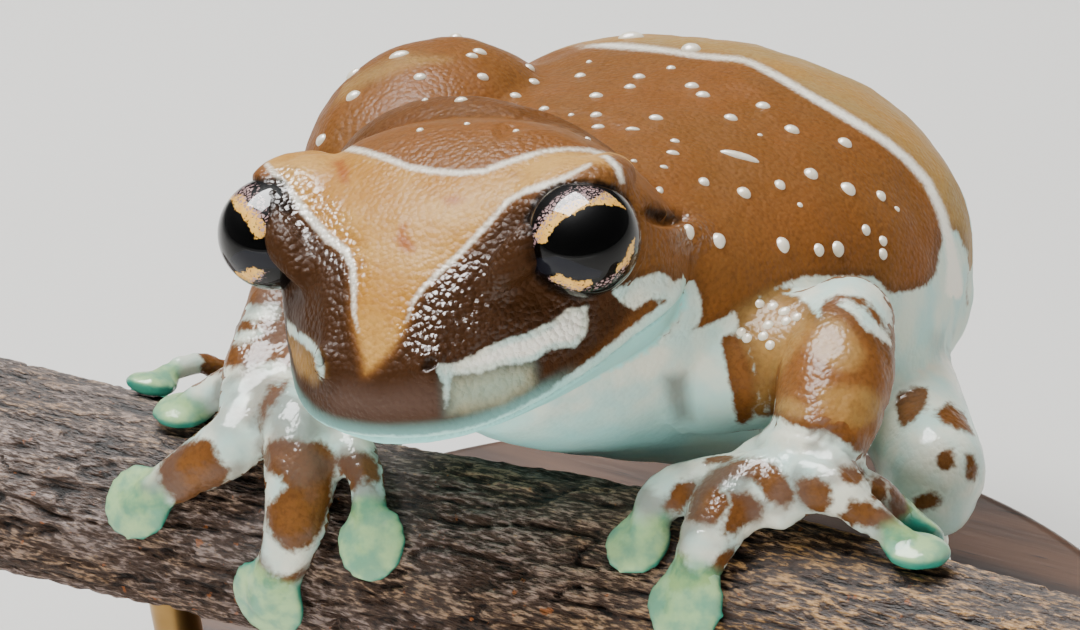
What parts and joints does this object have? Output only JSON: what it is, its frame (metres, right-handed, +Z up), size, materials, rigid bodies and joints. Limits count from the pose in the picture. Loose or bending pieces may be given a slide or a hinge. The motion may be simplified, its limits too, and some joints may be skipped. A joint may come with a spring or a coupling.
{
  "type": "amazon milk frog",
  "caption": "Life-size still model of a tree frog with banded limbs and warty back, crouched and gripping a cut length of branch on a small oval display stand.",
  "frame": {"origin": "centre of the underside of the stand's base", "axes": "+Z up, the frog faces -Y, its left side is +X, and the branch runs along X"},
  "size_m": [0.1, 0.073, 0.0634],
  "materials": {
    "skin_brown": "moist frog skin, brown with pale markings",
    "skin_pale": "moist frog skin, pale aqua-white with brown bands",
    "eye": "glossy, black with gold patches",
    "bark": "rough grey-brown bark",
    "walnut": "satin dark wood",
    "rod": "satin"
  },
  "bodies": {
    "root": {"head": "skin_brown", "lower_jaw": "skin_pale", "torso": "skin_brown", "eye_left": "eye", "eye_right": "eye", "upper_arm_left": "skin_brown", "upper_arm_right": "skin_brown", "forearm_left": "skin_brown", "forearm_right": "skin_brown", "hand_left": "skin_pale", "hand_right": "skin_pale", "thigh_left": "skin_pale", "thigh_right": "skin_pale", "shank_left": "skin_pale", "shank_right": "skin_pale", "foot_left": "skin_pale", "foot_right": "skin_pale", "perch": "bark", "stand_base": "walnut", "stand_rod_left": "rod", "stand_rod_right": "rod"}
  },
  "joints": []
}
